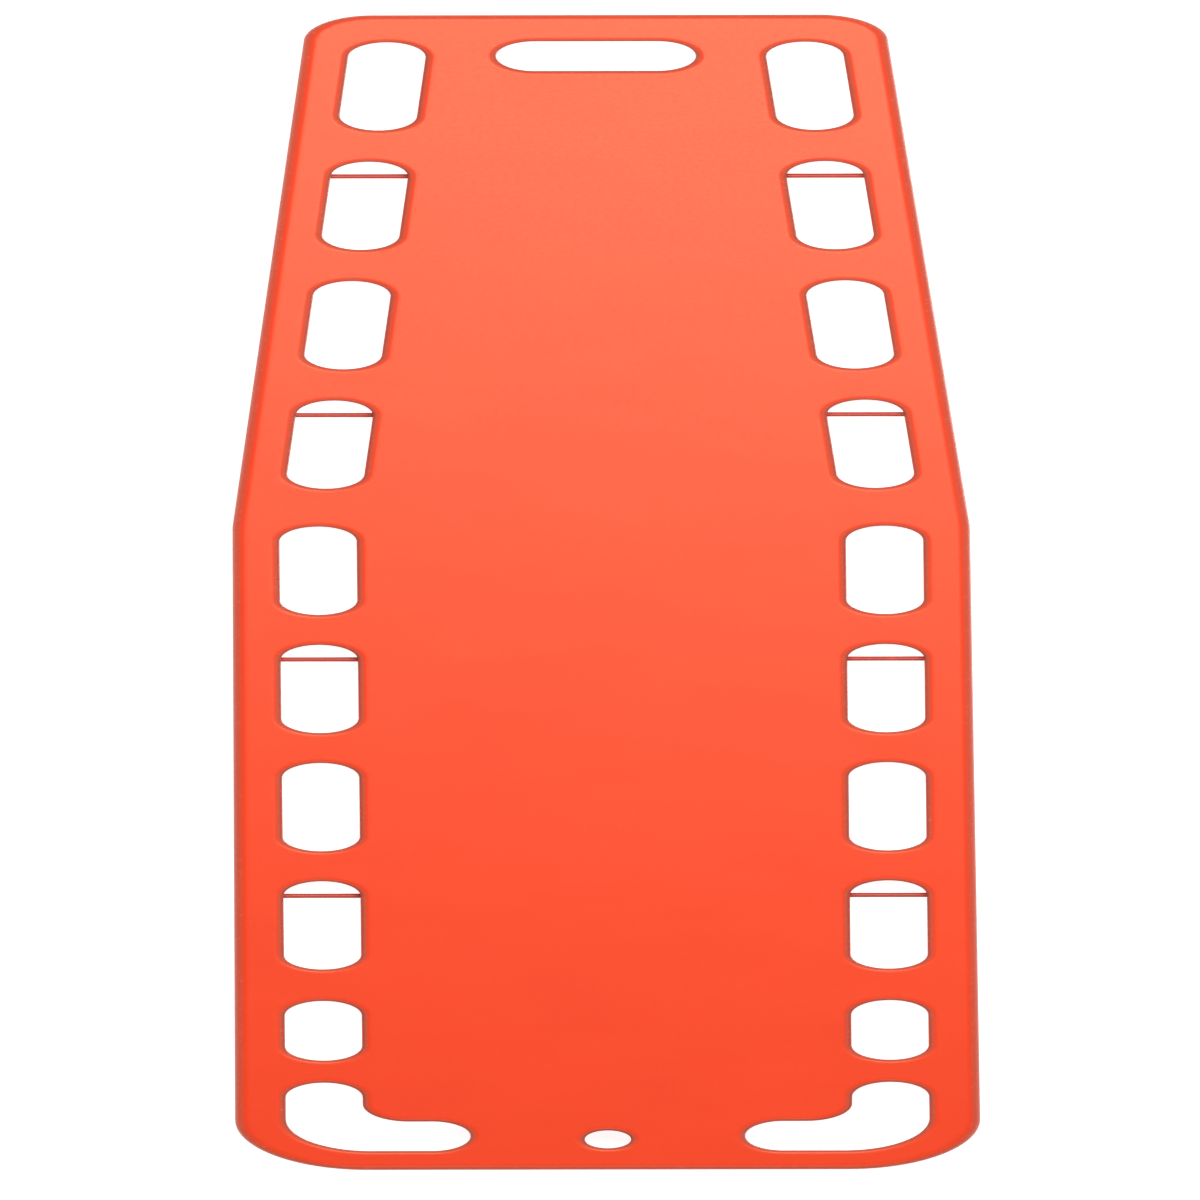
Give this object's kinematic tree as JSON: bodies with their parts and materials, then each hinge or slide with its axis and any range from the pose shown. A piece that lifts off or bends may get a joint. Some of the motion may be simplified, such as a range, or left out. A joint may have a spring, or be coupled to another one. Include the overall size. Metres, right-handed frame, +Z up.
{
  "type": "spine board",
  "caption": "Foam-filled plastic rescue backboard, tapered to its narrow end, with side handholds, L-shaped corner handholds, an end handle and cross pins for straps.",
  "frame": {"origin": "on the ground, under the middle of the board's bounding box", "axes": "+X across the board to its right, +Y along it towards the narrow end, +Z up out of the deck"},
  "size_m": [0.4526, 1.84, 0.05],
  "materials": {
    "shell_plastic": "satin moulded HDPE, orange-red",
    "foam": "rigid polyurethane foam",
    "pin_coat": "coated steel rod, dark orange-red",
    "plug_plastic": "push-in polyethylene plug, black"
  },
  "bodies": {
    "root": {"board_shell": "shell_plastic", "foam_core": "foam", "strap_pin_left_1": "pin_coat", "strap_pin_left_2": "pin_coat", "strap_pin_left_3": "pin_coat", "strap_pin_left_4": "pin_coat", "strap_pin_right_1": "pin_coat", "strap_pin_right_2": "pin_coat", "strap_pin_right_3": "pin_coat", "strap_pin_right_4": "pin_coat", "fill_plug": "plug_plastic", "vent_plug": "plug_plastic"}
  },
  "joints": []
}
